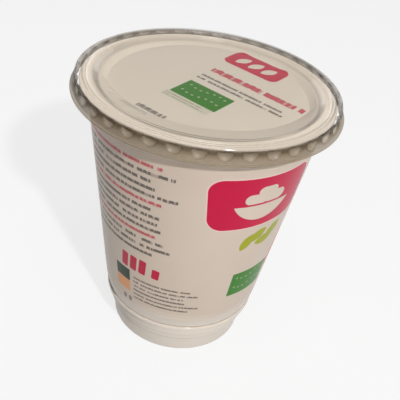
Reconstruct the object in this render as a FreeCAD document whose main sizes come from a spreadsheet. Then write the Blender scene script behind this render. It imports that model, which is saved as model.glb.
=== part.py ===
"""Soft cheese pot: a tapered plastic pot closed by a sealed foil membrane, under a clear push-on overcap.

FreeCAD 1.1 macro, millimetres.  The origin is the middle of the foot, on the surface that the pot
stands on, with +Z up along the axis of every piece.  Each piece is turned about that axis, and the
overcap's skirt then gets its ring of lugs.
"""
import FreeCAD, Part
import os
import Sketcher

# ---------------------------------------------------------------------------------- driving sizes
SIZES = [
    # pot: foot
    ("foot_radius", 27.0, "outer radius of the foot where it stands"),
    ("foot_height", 7.8, "height of the foot band"),
    ("foot_flare", 1.2, "how much wider the foot band is at its top"),
    ("foot_land", 2.6, "width of the ring that stands on the table"),
    ("base_recess", 3.0, "how far the base is raised inside the foot ring"),
    ("ledge_width", 0.5, "step out above the foot band"),
    ("ledge_height", 2.7, "height of the stepped band above the foot band"),
    # pot: neck, bead and shoulder
    ("neck_step", 0.8, "step out from the stepped band to the neck"),
    ("neck_height", 4.1, "height of the neck under the stacking bead"),
    ("bead_width", 1.5, "how far the stacking bead stands out from the neck"),
    ("bead_height", 1.8, "height of the stacking bead"),
    ("shoulder_height", 4.8, "height of the rounded shoulder above the bead"),
    ("shoulder_inset", 0.55, "how far the shoulder's foot lies inside the bead"),
    ("shoulder_bulge", 0.661, "how far the shoulder's top stands out from a straight run up to the rim"),
    # pot: rim
    ("rim_radius", 45.9, "outer radius of the rim"),
    ("rim_width", 2.6, "how far the rim stands out from the top of the wall"),
    ("rim_height", 1.4, "height of the rim"),
    ("pot_height", 107.3, "top of the rim above the table"),
    # membrane
    ("membrane_sheet", 0.2, "thickness of the sealed membrane"),
    ("membrane_inset", 0.3, "how far the membrane stays inside the edge of the rim"),
    ("dish_slope_width", 5.0, "width of the sloping edge of the membrane's dish"),
    ("dish_depth", 1.4, "depth of the membrane's dish"),
    ("fill_gap", 0.3, "gap between the dished membrane and the filling"),
    # overcap
    ("cap_sheet", 0.5, "thickness of the overcap's sheet"),
    ("ring_gap", 1.1, "gap between the rim and the inside of the stacking ring"),
    ("ring_width", 6.2, "width of the stacking ring's flat top"),
    ("ring_slope_width", 2.0, "width of the slope from the stacking ring down to the panel"),
    ("panel_depth", 1.6, "how far the panel lies below the top of the stacking ring"),
    ("seat_width", 1.3, "width of the ring on which the panel rests on the membrane"),
    ("groove_width", 1.2, "width of the fine groove in the middle of the stacking ring, at its top"),
    ("groove_floor", 0.5, "width of that groove at its floor"),
    ("groove_depth", 0.4, "depth of that groove"),
    ("skirt_height", 5.5, "height of the overcap from its lip to the top of the ring"),
    ("skirt_flare", 0.6, "how much wider the skirt is at its lip"),
    ("lip_width", 0.95, "how far the trimmed lip stands out from the skirt"),
    # lugs in the skirt
    ("lug_count", 38, "number of lugs around the skirt"),
    ("lug_radius", 4.0, "radius of the ball that presses one lug"),
    ("lug_drop", 1.3, "how far the lugs start below the top of the ring"),
    ("lug_clearance", 0.15, "gap between the lugs and the edge of the rim"),
    # rounded edges
    ("foot_round", 1.0, "round of the foot's outer edge"),
    ("bead_round", 0.4, "round of the stacking bead"),
    ("shoulder_round", 12.0, "round between the shoulder and the wall"),
    ("rim_root_round", 1.2, "round between the wall and the rim"),
    ("rim_round", 0.5, "round of the rim's lower edge"),
    ("ring_round", 0.9, "round of the overcap's outer corner"),
    ("ring_inner_round", 0.7, "round of the stacking ring's inner edge"),
    ("panel_round", 1.0, "round at the edge of the sunk panel"),
    ("panel_inner_round", 0.5, "the same round on the underside of the sheet"),
]

# Sizes that follow from the driving ones, as expressions over the sheet.
FOOT_TOP_RADIUS = "(sizes.foot_radius + sizes.foot_flare)"
LEDGE_RADIUS = f"({FOOT_TOP_RADIUS} + sizes.ledge_width)"
NECK_RADIUS = f"({LEDGE_RADIUS} + sizes.neck_step)"
BEAD_RADIUS = f"({NECK_RADIUS} + sizes.bead_width)"
SHOULDER_FOOT_RADIUS = f"({BEAD_RADIUS} - sizes.shoulder_inset)"
WALL_TOP_RADIUS = "(sizes.rim_radius - sizes.rim_width)"
NECK_LEVEL = "(sizes.foot_height + sizes.ledge_height)"
BEAD_LEVEL = f"({NECK_LEVEL} + sizes.neck_height)"
BEAD_TOP = f"({BEAD_LEVEL} + sizes.bead_height)"
SHOULDER_TOP = f"({BEAD_TOP} + sizes.shoulder_height)"
RIM_UNDERSIDE = "(sizes.pot_height - sizes.rim_height)"
WALL_SLOPE = f"(({WALL_TOP_RADIUS} - {SHOULDER_FOOT_RADIUS}) / ({RIM_UNDERSIDE} - {BEAD_TOP}))"
WALL_BASE_RADIUS = (f"({SHOULDER_FOOT_RADIUS} + {WALL_SLOPE} * sizes.shoulder_height"
                    " + sizes.shoulder_bulge)")

MEMBRANE_TOP = "(sizes.pot_height + sizes.membrane_sheet)"
RING_OUTER_RADIUS = "(sizes.rim_radius + sizes.ring_gap + sizes.cap_sheet)"
RING_INNER_RADIUS = f"({RING_OUTER_RADIUS} - sizes.ring_width)"
GROOVE_RADIUS = f"({RING_OUTER_RADIUS} - 0.5 * sizes.ring_width)"
PANEL_RADIUS = f"({RING_INNER_RADIUS} - sizes.ring_slope_width)"
DISH_RADIUS = f"({PANEL_RADIUS} - sizes.seat_width)"
DISH_FLOOR_RADIUS = f"({DISH_RADIUS} - sizes.dish_slope_width)"

CAP_TOP = f"({MEMBRANE_TOP} + sizes.cap_sheet + sizes.panel_depth)"
LIP_LEVEL = f"({CAP_TOP} - sizes.skirt_height)"
LIP_TOP = f"({LIP_LEVEL} + sizes.cap_sheet)"
SKIRT_FOOT_RADIUS = f"({RING_OUTER_RADIUS} + sizes.skirt_flare)"
LIP_RADIUS = f"({SKIRT_FOOT_RADIUS} + sizes.lip_width)"
LUG_LEVEL = f"({CAP_TOP} - sizes.lug_drop)"
LUG_CENTRE_RADIUS = "(sizes.rim_radius + sizes.lug_clearance + sizes.lug_radius + sizes.cap_sheet)"
# A sheet bent by an angle keeps its thickness when its inner corner moves along by this much.
RING_BEND = "(sizes.cap_sheet * tan(0.5 * atan(sizes.panel_depth / sizes.ring_slope_width)))"
GROOVE_BEND = ("(sizes.cap_sheet * tan(0.5 * atan(sizes.groove_depth"
               " / (0.5 * (sizes.groove_width - sizes.groove_floor)))))")

BELOW = 1.0                 # how far a cutting shape runs past what it cuts
EDGE_MATCH = 0.02           # how near an edge has to lie to the corner that it is looked up by

doc = FreeCAD.newDocument("soft_cheese_pot")


def make_sheet():
    """Write each driving size into its own row, under its name as an alias."""
    sheet = doc.addObject("Spreadsheet::Sheet", "sizes")
    for row, (alias, size, note) in enumerate(SIZES, start=1):
        sheet.set(f"A{row}", alias)
        sheet.set(f"B{row}", str(size))
        sheet.set(f"C{row}", note)
        sheet.setAlias(f"B{row}", alias)
    doc.recompute()
    return sheet


SHEET = make_sheet()


def value(expression):
    """The present value of an expression over the sheet."""
    return float(SHEET.evalExpression(expression))


def origin_plane(body, role):
    """The body's own origin plane or axis with this role."""
    return next(item for item in body.Origin.OriginFeatures if item.Role == role)


def turned(body, name, corners):
    """Turn the closed outline through these corners, as (radius, height) expressions, about Z."""
    sketch = body.newObject("Sketcher::SketchObject", f"{name}_profile")
    sketch.AttachmentSupport = [(origin_plane(body, "XZ_Plane"), "")]
    sketch.MapMode = "FlatFace"
    points = [FreeCAD.Vector(value(radius), value(height), 0) for radius, height in corners]
    count = len(points)
    for index in range(count):
        sketch.addGeometry(Part.LineSegment(points[index], points[(index + 1) % count]), False)
    for index in range(count):
        sketch.addConstraint(Sketcher.Constraint("Coincident", index, 2, (index + 1) % count, 1))
    for index, (radius, height) in enumerate(corners):
        pin_corner(sketch, index, "across", "DistanceX", -2, radius)
        pin_corner(sketch, index, "up", "DistanceY", -1, height)
    revolution = body.newObject("PartDesign::Revolution", name)
    revolution.Profile = sketch
    revolution.ReferenceAxis = (sketch, ["V_Axis"])
    revolution.Angle = 360
    doc.recompute()
    return revolution


def pin_corner(sketch, index, name, kind, axis, expression):
    """Tie one coordinate of a corner to its expression, or to the axis where it is nought."""
    distance = value(expression)
    if distance == 0:
        sketch.addConstraint(Sketcher.Constraint("PointOnObject", index, 1, axis))
        return
    number = sketch.addConstraint(Sketcher.Constraint(kind, -1, 1, index, 1, distance))
    sketch.renameConstraint(number, f"{name}_{index}")
    sketch.setExpression(f"Constraints.{name}_{index}", expression)


def rounded(body, name, size, corners):
    """Round the circular edges that pass through these (radius, height) corners."""
    base = body.Tip
    wanted = [(value(radius), value(height)) for radius, height in corners]
    edges = []
    for number, edge in enumerate(base.Shape.Edges, start=1):
        if not isinstance(edge.Curve, Part.Circle):
            continue
        circle = edge.Curve
        for radius, height in wanted:
            if abs(circle.Radius - radius) < EDGE_MATCH and abs(circle.Center.z - height) < EDGE_MATCH:
                edges.append(f"Edge{number}")
    if len(edges) != len(wanted):
        raise RuntimeError(f"{name}: {len(edges)} edges found for {len(wanted)} corners")
    fillet = body.newObject("PartDesign::Fillet", name)
    fillet.Base = (base, edges)
    fillet.setExpression("Radius", f"sizes.{size}")
    doc.recompute()
    if fillet.Shape.isNull() or not fillet.Shape.isValid():
        raise RuntimeError(f"{name}: the round doesn't fit")
    return fillet


def lug_ring(body, name, radius):
    """Press a ring of half-round lugs into the skirt: the lower half of a ball, repeated about Z from
    the one at the front."""
    volume_before = body.Shape.Volume
    lug = body.newObject("PartDesign::SubtractiveSphere", name)
    lug.AttachmentSupport = [(origin_plane(body, "XY_Plane"), "")]
    lug.MapMode = "FlatFace"
    lug.Angle1 = -90
    lug.Angle2 = 0
    lug.Angle3 = 360
    lug.setExpression("Radius", radius)
    lug.setExpression(".AttachmentOffset.Base.y", f"-{LUG_CENTRE_RADIUS}")
    lug.setExpression(".AttachmentOffset.Base.z", LUG_LEVEL)
    doc.recompute()
    pattern = body.newObject("PartDesign::PolarPattern", f"{name}_ring")
    pattern.Originals = [lug]
    pattern.Axis = (origin_plane(body, "Z_Axis"), [""])
    pattern.Angle = 360
    pattern.setExpression("Occurrences", "sizes.lug_count")
    body.Tip = pattern
    doc.recompute()
    if body.Shape.Volume >= volume_before:
        raise RuntimeError(f"{name}: the lugs cut nothing")


# ------------------------------------------------------------------------------------------- pot
def make_pot():
    """The filled pot: foot ring, stepped bands, stacking bead, shoulder, tapered wall and rim."""
    body = doc.addObject("PartDesign::Body", "pot")
    body.Label = "pot"
    turned(body, "pot_form", [
        ("0", "sizes.base_recess"),
        ("sizes.foot_radius - sizes.foot_land", "sizes.base_recess"),
        ("sizes.foot_radius - sizes.foot_land", "0"),
        ("sizes.foot_radius", "0"),
        (FOOT_TOP_RADIUS, "sizes.foot_height"),
        (LEDGE_RADIUS, "sizes.foot_height"),
        (LEDGE_RADIUS, NECK_LEVEL),
        (NECK_RADIUS, NECK_LEVEL),
        (NECK_RADIUS, BEAD_LEVEL),
        (BEAD_RADIUS, BEAD_LEVEL),
        (BEAD_RADIUS, BEAD_TOP),
        (SHOULDER_FOOT_RADIUS, BEAD_TOP),
        (WALL_BASE_RADIUS, SHOULDER_TOP),
        (WALL_TOP_RADIUS, RIM_UNDERSIDE),
        ("sizes.rim_radius", RIM_UNDERSIDE),
        ("sizes.rim_radius", "sizes.pot_height"),
        (DISH_RADIUS, "sizes.pot_height"),
        (DISH_FLOOR_RADIUS, "sizes.pot_height - sizes.dish_depth - sizes.fill_gap"),
        ("0", "sizes.pot_height - sizes.dish_depth - sizes.fill_gap"),
    ])
    rounded(body, "shoulder_rounded", "shoulder_round", [(WALL_BASE_RADIUS, SHOULDER_TOP)])
    rounded(body, "rim_root_rounded", "rim_root_round", [(WALL_TOP_RADIUS, RIM_UNDERSIDE)])
    rounded(body, "rim_rounded", "rim_round", [("sizes.rim_radius", RIM_UNDERSIDE)])
    rounded(body, "bead_rounded", "bead_round", [
        (BEAD_RADIUS, BEAD_LEVEL),
        (BEAD_RADIUS, BEAD_TOP),
    ])
    rounded(body, "foot_rounded", "foot_round", [("sizes.foot_radius", "0")])
    return body


# -------------------------------------------------------------------------------------- membrane
def make_membrane():
    """The sealed sheet: flat on the rim, with a shallow dish in the middle."""
    body = doc.addObject("PartDesign::Body", "membrane")
    body.Label = "membrane"
    turned(body, "membrane_form", [
        ("0", "sizes.pot_height - sizes.dish_depth"),
        (DISH_FLOOR_RADIUS, "sizes.pot_height - sizes.dish_depth"),
        (DISH_RADIUS, "sizes.pot_height"),
        ("sizes.rim_radius - sizes.membrane_inset", "sizes.pot_height"),
        ("sizes.rim_radius - sizes.membrane_inset", MEMBRANE_TOP),
        (DISH_RADIUS, MEMBRANE_TOP),
        (DISH_FLOOR_RADIUS, f"{MEMBRANE_TOP} - sizes.dish_depth"),
        ("0", f"{MEMBRANE_TOP} - sizes.dish_depth"),
    ])
    return body


# --------------------------------------------------------------------------------------- overcap
def make_cap_blank():
    """The overcap as a full form, out to its outer skin: panel, stacking ring, lugged skirt, lip."""
    body = doc.addObject("PartDesign::Body", "cap_blank")
    half_top = "0.5 * sizes.groove_width"
    half_floor = "0.5 * sizes.groove_floor"
    turned(body, "cap_blank_form", [
        ("0", LIP_LEVEL),
        (SKIRT_FOOT_RADIUS, LIP_LEVEL),
        (RING_OUTER_RADIUS, CAP_TOP),
        (f"{GROOVE_RADIUS} + {half_top}", CAP_TOP),
        (f"{GROOVE_RADIUS} + {half_floor}", f"{CAP_TOP} - sizes.groove_depth"),
        (f"{GROOVE_RADIUS} - {half_floor}", f"{CAP_TOP} - sizes.groove_depth"),
        (f"{GROOVE_RADIUS} - {half_top}", CAP_TOP),
        (RING_INNER_RADIUS, CAP_TOP),
        (PANEL_RADIUS, f"{CAP_TOP} - sizes.panel_depth"),
        ("0", f"{CAP_TOP} - sizes.panel_depth"),
    ])
    rounded(body, "blank_corner_rounded", "ring_round", [(RING_OUTER_RADIUS, CAP_TOP)])
    rounded(body, "blank_ring_rounded", "ring_inner_round", [(RING_INNER_RADIUS, CAP_TOP)])
    rounded(body, "blank_panel_rounded", "panel_round", [
        (PANEL_RADIUS, f"{CAP_TOP} - sizes.panel_depth"),
    ])
    lug_ring(body, "blank_lug", "sizes.lug_radius")
    turned(body, "lip", [
        ("0", LIP_LEVEL),
        (LIP_RADIUS, LIP_LEVEL),
        (LIP_RADIUS, LIP_TOP),
        ("0", LIP_TOP),
    ])
    return body


def make_cap_hollow():
    """The space under the overcap: its outer form, one sheet thickness further in."""
    body = doc.addObject("PartDesign::Body", "cap_hollow")
    half_top = f"(0.5 * sizes.groove_width + {GROOVE_BEND})"
    half_floor = f"(0.5 * sizes.groove_floor + {GROOVE_BEND})"
    ceiling = f"({CAP_TOP} - sizes.cap_sheet)"
    panel_edge = f"({PANEL_RADIUS} + {RING_BEND})"
    mouth_radius = f"({SKIRT_FOOT_RADIUS} - sizes.cap_sheet)"
    below_lip = f"({LIP_LEVEL} - {BELOW})"
    turned(body, "cap_hollow_form", [
        ("0", LIP_TOP),
        (mouth_radius, LIP_TOP),
        (f"{RING_OUTER_RADIUS} - sizes.cap_sheet", ceiling),
        (f"{GROOVE_RADIUS} + {half_top}", ceiling),
        (f"{GROOVE_RADIUS} + {half_floor}", f"{ceiling} - sizes.groove_depth"),
        (f"{GROOVE_RADIUS} - {half_floor}", f"{ceiling} - sizes.groove_depth"),
        (f"{GROOVE_RADIUS} - {half_top}", ceiling),
        (f"{RING_INNER_RADIUS} + {RING_BEND}", ceiling),
        (panel_edge, MEMBRANE_TOP),
        ("0", MEMBRANE_TOP),
    ])
    rounded(body, "hollow_panel_rounded", "panel_inner_round", [(panel_edge, MEMBRANE_TOP)])
    lug_ring(body, "hollow_lug", "sizes.lug_radius + sizes.cap_sheet")
    turned(body, "mouth", [
        ("0", below_lip),
        (mouth_radius, below_lip),
        (mouth_radius, LIP_TOP),
        ("0", LIP_TOP),
    ])
    return body


def make_overcap():
    """The clear thermoformed overcap: the full form less the space under it."""
    overcap = doc.addObject("Part::Cut", "overcap")
    overcap.Label = "overcap"
    overcap.Base = make_cap_blank()
    overcap.Tool = make_cap_hollow()
    doc.recompute()
    return overcap


# ----------------------------------------------------------------------------------------- output
def check_document():
    """Stop if any object of the document failed to build."""
    for item in doc.Objects:
        if "Invalid" in item.State or "Error" in item.State:
            raise RuntimeError(f"{item.Name} failed: {item.State}")


def write_parts(pieces):
    """Check each piece and write it to its own STEP file, named by its label."""
    os.makedirs("parts", exist_ok=True)
    for piece in pieces:
        if piece.Shape.isNull() or not piece.Shape.isValid():
            raise RuntimeError(f"{piece.Label} has no valid shape")
        if len(piece.Shape.Solids) != 1:
            raise RuntimeError(f"{piece.Label} has {len(piece.Shape.Solids)} solids")
        piece.Shape.exportStep(f"parts/{piece.Label}.step")
        print(f"{piece.Label}: {piece.Shape.Volume:.1f} mm3, {len(piece.Shape.Faces)} faces")


def main():
    pieces = [make_pot(), make_membrane(), make_overcap()]
    doc.recompute()
    check_document()
    write_parts(pieces)


main()
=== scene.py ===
"""Soft cheese pot: a printed white plastic pot, its sealed printed membrane and its clear overcap.

The file is laid out as an add-on and run as a script.  Every mesh is worked out with numpy, in metres,
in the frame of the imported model: +Z runs up the axis of the pot and -Y is the front of its print.
"""
import math

import bpy
import numpy as np
from bpy.props import FloatProperty, FloatVectorProperty, IntProperty, PointerProperty
from mathutils import Matrix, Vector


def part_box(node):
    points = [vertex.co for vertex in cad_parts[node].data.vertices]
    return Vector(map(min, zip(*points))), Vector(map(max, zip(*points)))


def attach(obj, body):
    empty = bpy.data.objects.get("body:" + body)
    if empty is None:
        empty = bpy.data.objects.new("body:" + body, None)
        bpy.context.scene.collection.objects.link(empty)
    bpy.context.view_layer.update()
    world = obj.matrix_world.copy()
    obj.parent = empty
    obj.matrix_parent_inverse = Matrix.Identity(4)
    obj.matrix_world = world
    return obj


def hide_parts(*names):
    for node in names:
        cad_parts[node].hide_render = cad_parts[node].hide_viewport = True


bl_info = {
    "name": "Soft Cheese Pot",
    "version": (1, 0, 0),
    "blender": (4, 5, 0),
    "location": "View3D > Sidebar > Cheese Pot",
    "description": "Makes a printed soft cheese pot with its membrane and clear overcap",
    "category": "Add Mesh",
}

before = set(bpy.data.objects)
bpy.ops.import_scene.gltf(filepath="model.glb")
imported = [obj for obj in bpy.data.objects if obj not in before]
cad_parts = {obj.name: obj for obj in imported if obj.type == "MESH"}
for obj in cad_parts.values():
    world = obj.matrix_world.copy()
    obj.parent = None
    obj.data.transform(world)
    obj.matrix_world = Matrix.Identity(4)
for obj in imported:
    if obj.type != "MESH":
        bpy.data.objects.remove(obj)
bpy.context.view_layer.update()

MM = 0.001
POT_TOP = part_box("pot")[1][2]
MEMBRANE_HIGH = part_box("membrane")[1]
CAP_LOW, CAP_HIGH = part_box("overcap")

PRINT_RADIUS = 38.0         # radius at which a millimetre of the wall's print is a true millimetre
SEAT_CLEARANCE = 0.03 * MM  # keeps the membrane's top clear of the overcap's panel, which rests on it
FLOOR_RADIUS = 6.0          # metres, far enough for the floor's edge to pass out of sight
FLOOR_COLUMNS = 96
WHITE = (1.0, 1.0, 1.0, 1.0)

# name, azimuth from the front and elevation in degrees, distance and size in metres, power in watts
LAMPS = (
    ("key", 24, 40, 0.9, 0.05, 7.0),
    ("fill_top", 10, 72, 1.2, 0.7, 4.0),
    ("fill_back_left", -148, 18, 1.2, 0.8, 2.3),
    ("fill_back_right", 148, 18, 1.2, 0.8, 2.3),
)


# ------------------------------------------------------------------------------ properties
def linear(hex_code):
    """The linear colour of an sRGB hex value, channel by channel, by the sRGB curve."""
    channels = [int(hex_code[i:i + 2], 16) / 255 for i in (1, 3, 5)]
    return tuple(c / 12.92 if c <= 0.04045 else ((c + 0.055) / 1.055) ** 2.4 for c in channels)


def length(name, description, millimetres):
    """A length that the user may change, given in millimetres and kept in metres."""
    return FloatProperty(name=name, description=description, default=millimetres * MM, unit="LENGTH",
                         subtype="DISTANCE", precision=5)


def colour(name, description, hex_code):
    """A colour that the user may change, given as sRGB hex and kept linear."""
    return FloatVectorProperty(name=name, description=description, default=linear(hex_code), size=3,
                               min=0.0, max=1.0, subtype="COLOR")


def angle(name, description, degrees):
    """An angle that the user may change, given in degrees and kept in radians."""
    return FloatProperty(name=name, description=description, default=math.radians(degrees),
                         subtype="ANGLE", precision=4)


class PotSizes(bpy.types.PropertyGroup):
    """Sizes of the pot."""
    foot_radius: length("Foot radius", "Outer radius of the foot where it stands", 27.0)
    foot_height: length("Foot height", "Height of the foot band", 7.8)
    foot_flare: length("Foot flare", "How much wider the foot band is at its top", 0.9)
    foot_land: length("Foot land", "Width of the ring that stands on the table", 2.6)
    base_recess: length("Base recess", "How far the base is raised inside the foot ring", 3.0)
    ledge_width: length("Ledge width", "Step out above the foot band", 0.7)
    ledge_height: length("Ledge height", "Height of the stepped band", 2.7)
    neck_radius: length("Neck radius", "Radius of the recessed neck", 29.5)
    bead_level: length("Bead level", "Underside of the stacking bead", 14.6)
    bead_height: length("Bead height", "Height of the stacking bead", 1.8)
    bead_radius: length("Bead radius", "Outer radius of the stacking bead", 31.0)
    shoulder_height: length("Shoulder height", "Height of the shoulder above the bead", 4.8)
    shoulder_inset: length("Shoulder inset", "How far the shoulder's foot lies inside the bead", 0.55)
    wall_base_radius: length("Wall base radius", "Radius of the wall above the shoulder", 31.8)
    wall_top_radius: length("Wall top radius", "Radius of the wall under the rim", 43.3)
    rim_height: length("Rim height", "Height of the rim", 1.4)
    rim_show: length("Rim show", "How far the rim stands out past the membrane", 0.3)
    wall_wave: length("Wall wave", "How far the drawn wall swings in and out", 0.05)
    columns: IntProperty(name="Columns", description="Mesh columns round the pot", default=360, min=24)


class MembraneSizes(bpy.types.PropertyGroup):
    """Sizes of the sealed membrane."""
    sheet: length("Sheet", "Thickness of the membrane", 0.2)
    dish_radius: length("Dish radius", "Where the flat seal ends and the dish begins", 38.6)
    dish_depth: length("Dish depth", "Depth of the dish", 3.0)
    floor_radius: length("Dish floor radius", "Radius of the arc that bounds the dish's flat floor", 39.9)
    floor_shift: length("Dish floor shift", "How far behind the axis the middle of that arc lies", 12.2)
    slope_width: length("Slope width", "Least width of the slope round the floor", 2.2)
    crinkle: length("Crinkle", "Height of the small creases at the seal", 0.16)
    columns: IntProperty(name="Columns", description="Mesh columns round the membrane", default=480, min=24)


class CapSizes(bpy.types.PropertyGroup):
    """Sizes of the clear overcap."""
    sheet: length("Sheet", "Thickness of the clear sheet", 0.5)
    panel_radius: length("Panel radius", "Radius of the sunk middle panel", 39.3)
    panel_depth: length("Panel depth", "How far the panel lies below the top of the ring", 1.6)
    ring_inner_radius: length("Ring inner radius", "Inner radius of the ring's flat top", 41.3)
    ring_outer_radius: length("Ring outer radius", "Outer radius of the stacking ring", 47.5)
    groove_radius: length("Groove radius", "Middle radius of the fine groove in the ring", 44.4)
    groove_width: length("Groove width", "Width of that groove at its top", 1.2)
    groove_floor: length("Groove floor", "Width of that groove at its floor", 0.5)
    groove_depth: length("Groove depth", "Depth of that groove", 0.4)
    skirt_flare: length("Skirt flare", "How much wider the skirt is at its lip", 0.6)
    lug_radius: length("Lug radius", "Radius of the ball that presses one lug", 4.0)
    lug_drop: length("Lug drop", "How far the lugs start below the top of the ring", 1.3)
    lug_reach: length("Lug reach", "How far inside the ring's outer radius the deepest point lies", 0.95)
    waviness: length("Waviness", "Height of the slow waves in the panel", 0.05)
    lug_count: IntProperty(name="Lugs", description="Number of lugs round the skirt", default=38, min=3)
    lug_columns: IntProperty(name="Columns a lug", description="Mesh columns for each lug", default=18,
                             min=6)


class PrintColours(bpy.types.PropertyGroup):
    """Colours of the plastic, the membrane and the inks."""
    pot_white: colour("Pot white", "Warm white of the moulded wall", "#D0C0B1")
    pot_shade: colour("Pot shade", "The same white where the sheet is thinner", "#C8B7A7")
    foot_white: colour("Foot white", "Creamier white of the unprinted foot and shoulder", "#DCD2C6")
    # painted shade for the creases of the foot
    crease_shade: colour("Crease shade", "Shade in the creases of the foot", "#8E7C68")
    panel_edge: colour("Panel edge", "Fine pale line round the front panel", "#E9C7C4")
    membrane_white: colour("Membrane white", "Warm white of the coated membrane", "#D9D0C5")
    # painted sheen: the sealed rim is painted lighter, for the bright ring over it
    seal_sheen_white: colour("Seal white", "The same white where the membrane is sealed flat", "#F4EADF")
    magenta: colour("Magenta", "Ink of the front panel", "#BE003A")
    crimson: colour("Crimson", "Ink of the headline bars", "#B80F3A")
    black: colour("Black", "Ink of the small print bars", "#2E2826")
    lime: colour("Lime", "Ink of the sprig", "#9CA006")
    green: colour("Green", "Ink of the green field", "#2F7812")
    dark_green: colour("Dark green", "Ink of the small dark field", "#16301C")
    orange: colour("Orange", "Ink of the small warm field", "#DE9C68")
    grey: colour("Grey", "Ink of the fine print bars", "#5E554D")
    vermilion: colour("Vermilion", "Ink of the warm stripe", "#DE5A34")
    pale_green: colour("Pale green", "Ink of the strip beside the membrane's green field", "#B9BDA6")
    sheet_clear: colour("Sheet clear", "Tint of the clear sheet seen face on", "#FFFEFC")
    sheet_edge: colour("Sheet edge", "Tint of the clear sheet seen edge on", "#4C3B26")
    sheet_haze: colour("Sheet haze", "Haze of the clear sheet's top", "#D6CDC0")
    skirt_haze: colour("Skirt haze", "Haze of the drawn skirt", "#8A7960")
    # paler haze of the lugs, and painted light near the lip
    lug_haze_and_lip_light: colour("Lug haze", "Haze of the pressed lugs and the lip", "#A39580")
    # painted shade between the lugs under the ring
    band_shade: colour("Band shade", "Shade of the skirt between the lugs", "#4F412F")
    floor_white: colour("Floor", "Pale floor under the pot", "#CFCFCF")


class CameraSizes(bpy.types.PropertyGroup):
    """Place and lens of the camera."""
    elevation: angle("Elevation", "Height of the camera above the horizon", 34.812)
    roll: angle("Roll", "Turn of the camera about its view", 8.791)
    pan: angle("Pan", "Turn of the camera to the side", 0.677)
    distance: length("Distance", "Distance from the camera to its aim point", 267.438)
    aim_height: length("Aim height", "Height of the aim point on the pot's axis", 57.36)
    lens: FloatProperty(name="Lens", description="Focal length on that sensor, in millimetres",
                        default=60.40)
    sensor: FloatProperty(name="Sensor", description="Width of the square sensor, in millimetres",
                          default=36.0)


# ---------------------------------------------------------------------------- mesh helpers
def rounded_path(corners, arc_steps=6):
    """Points of an outline through corners (radius, height, round): each corner with a round is replaced
    by the circular arc that is tangent to both of its runs, cut short where a run has no room for it."""
    plain = np.array([corner[:2] for corner in corners], float)
    points = [plain[0]]
    for before, here, after, corner in zip(plain[:-2], plain[1:-1], plain[2:], corners[1:-1]):
        back, ahead = before - here, after - here
        back_length, ahead_length = np.hypot(*back), np.hypot(*ahead)
        back, ahead = back / back_length, ahead / ahead_length
        half = 0.5 * math.acos(float(np.clip(back @ ahead, -1, 1)))
        if corner[2] == 0 or half > 0.5 * math.pi - 1e-4:
            points.append(here)
            continue
        reach = min(corner[2] / math.tan(half), 0.49 * back_length, 0.49 * ahead_length)
        radius = reach * math.tan(half)
        bisector = back + ahead
        centre = here + bisector / np.hypot(*bisector) * radius / math.sin(half)
        start, end = here + back * reach - centre, here + ahead * reach - centre
        first = math.atan2(start[1], start[0])
        turn = (math.atan2(end[1], end[0]) - first + math.pi) % (2 * math.pi) - math.pi
        angles = first + turn * np.linspace(0, 1, arc_steps + 1)
        points.extend(centre + radius * np.column_stack([np.cos(angles), np.sin(angles)]))
    points.append(plain[-1])
    return np.array(points)


def filled_path(points, longest):
    """The same outline with its long runs divided evenly, so that no run is over the longest length."""
    pieces = []
    for start, end in zip(points[:-1], points[1:]):
        count = max(1, math.ceil(float(np.hypot(*(end - start))) / longest))
        pieces.append(start + (end - start) * np.linspace(0, 1, count, endpoint=False)[:, None])
    return np.vstack(pieces + [points[-1:]])


def turns(columns):
    """Angles of a number of columns, evenly once round, from the back through the front."""
    return np.linspace(-math.pi, math.pi, columns, endpoint=False)


def turned(path, columns):
    """Grid of points of an outline turned about Z: x = r sin a, y = -r cos a, z as in the outline."""
    angles = turns(columns)
    radius, height = path[:, 0][:, None], path[:, 1][:, None]
    return np.stack([radius * np.sin(angles), -radius * np.cos(angles), height + 0 * angles], axis=2)


def closed_mesh(name, grid, **marks):
    """Mesh of a grid that is closed round its columns and shrinks to one point at its first and last row:
    rings of quads between the rows, and a fan of triangles at each pole.  Each mark is a value for every
    point of the grid, and becomes an attribute of that name."""
    rows, columns = grid.shape[:2]
    inner = rows - 2
    vertices = np.vstack([grid[0, :1], grid[1:-1].reshape(-1, 3), grid[-1, :1]])
    ring = np.arange(columns)
    after = (ring + 1) % columns
    base = 1 + columns * np.arange(inner - 1)[:, None]
    quads = np.stack([base + ring, base + after, base + columns + after, base + columns + ring], axis=2)
    last = 1 + columns * (inner - 1)
    first_fan = np.stack([0 * ring, 1 + after, 1 + ring], axis=1)
    last_fan = np.stack([0 * ring + last + columns, last + ring, last + after], axis=1)
    faces = first_fan.tolist() + quads.reshape(-1, 4).tolist() + last_fan.tolist()
    mesh = bpy.data.meshes.new(name)
    mesh.from_pydata(vertices.tolist(), [], faces)
    for key, values in marks.items():
        mark = mesh.attributes.new(key, "FLOAT", "POINT")
        values = np.concatenate([values[0, :1], values[1:-1].ravel(), values[-1, :1]])
        mark.data.foreach_set("value", values)
    mesh.update()
    mesh.shade_smooth()
    return mesh


def put(name, data, matrix=None):
    """Put an object with this data into the scene, in place of any older one of its name."""
    old = bpy.data.objects.get(name)
    if old is not None:
        bpy.data.objects.remove(old)
    holder = bpy.data.objects.new(name, data)
    if matrix is not None:
        holder.matrix_world = matrix
    bpy.context.scene.collection.objects.link(holder)
    return holder


def add_piece(name, mesh, material, node):
    """Put a finished mesh into the scene in place of its CAD node, riding on the one body."""
    mesh.materials.append(material)
    piece = put(name, mesh)
    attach(piece, "root")
    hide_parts(node)


def smooth_step(value):
    """0 below 0, 1 above 1, and a smooth cubic between."""
    t = np.clip(value, 0, 1)
    return t * t * (3 - 2 * t)


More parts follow.
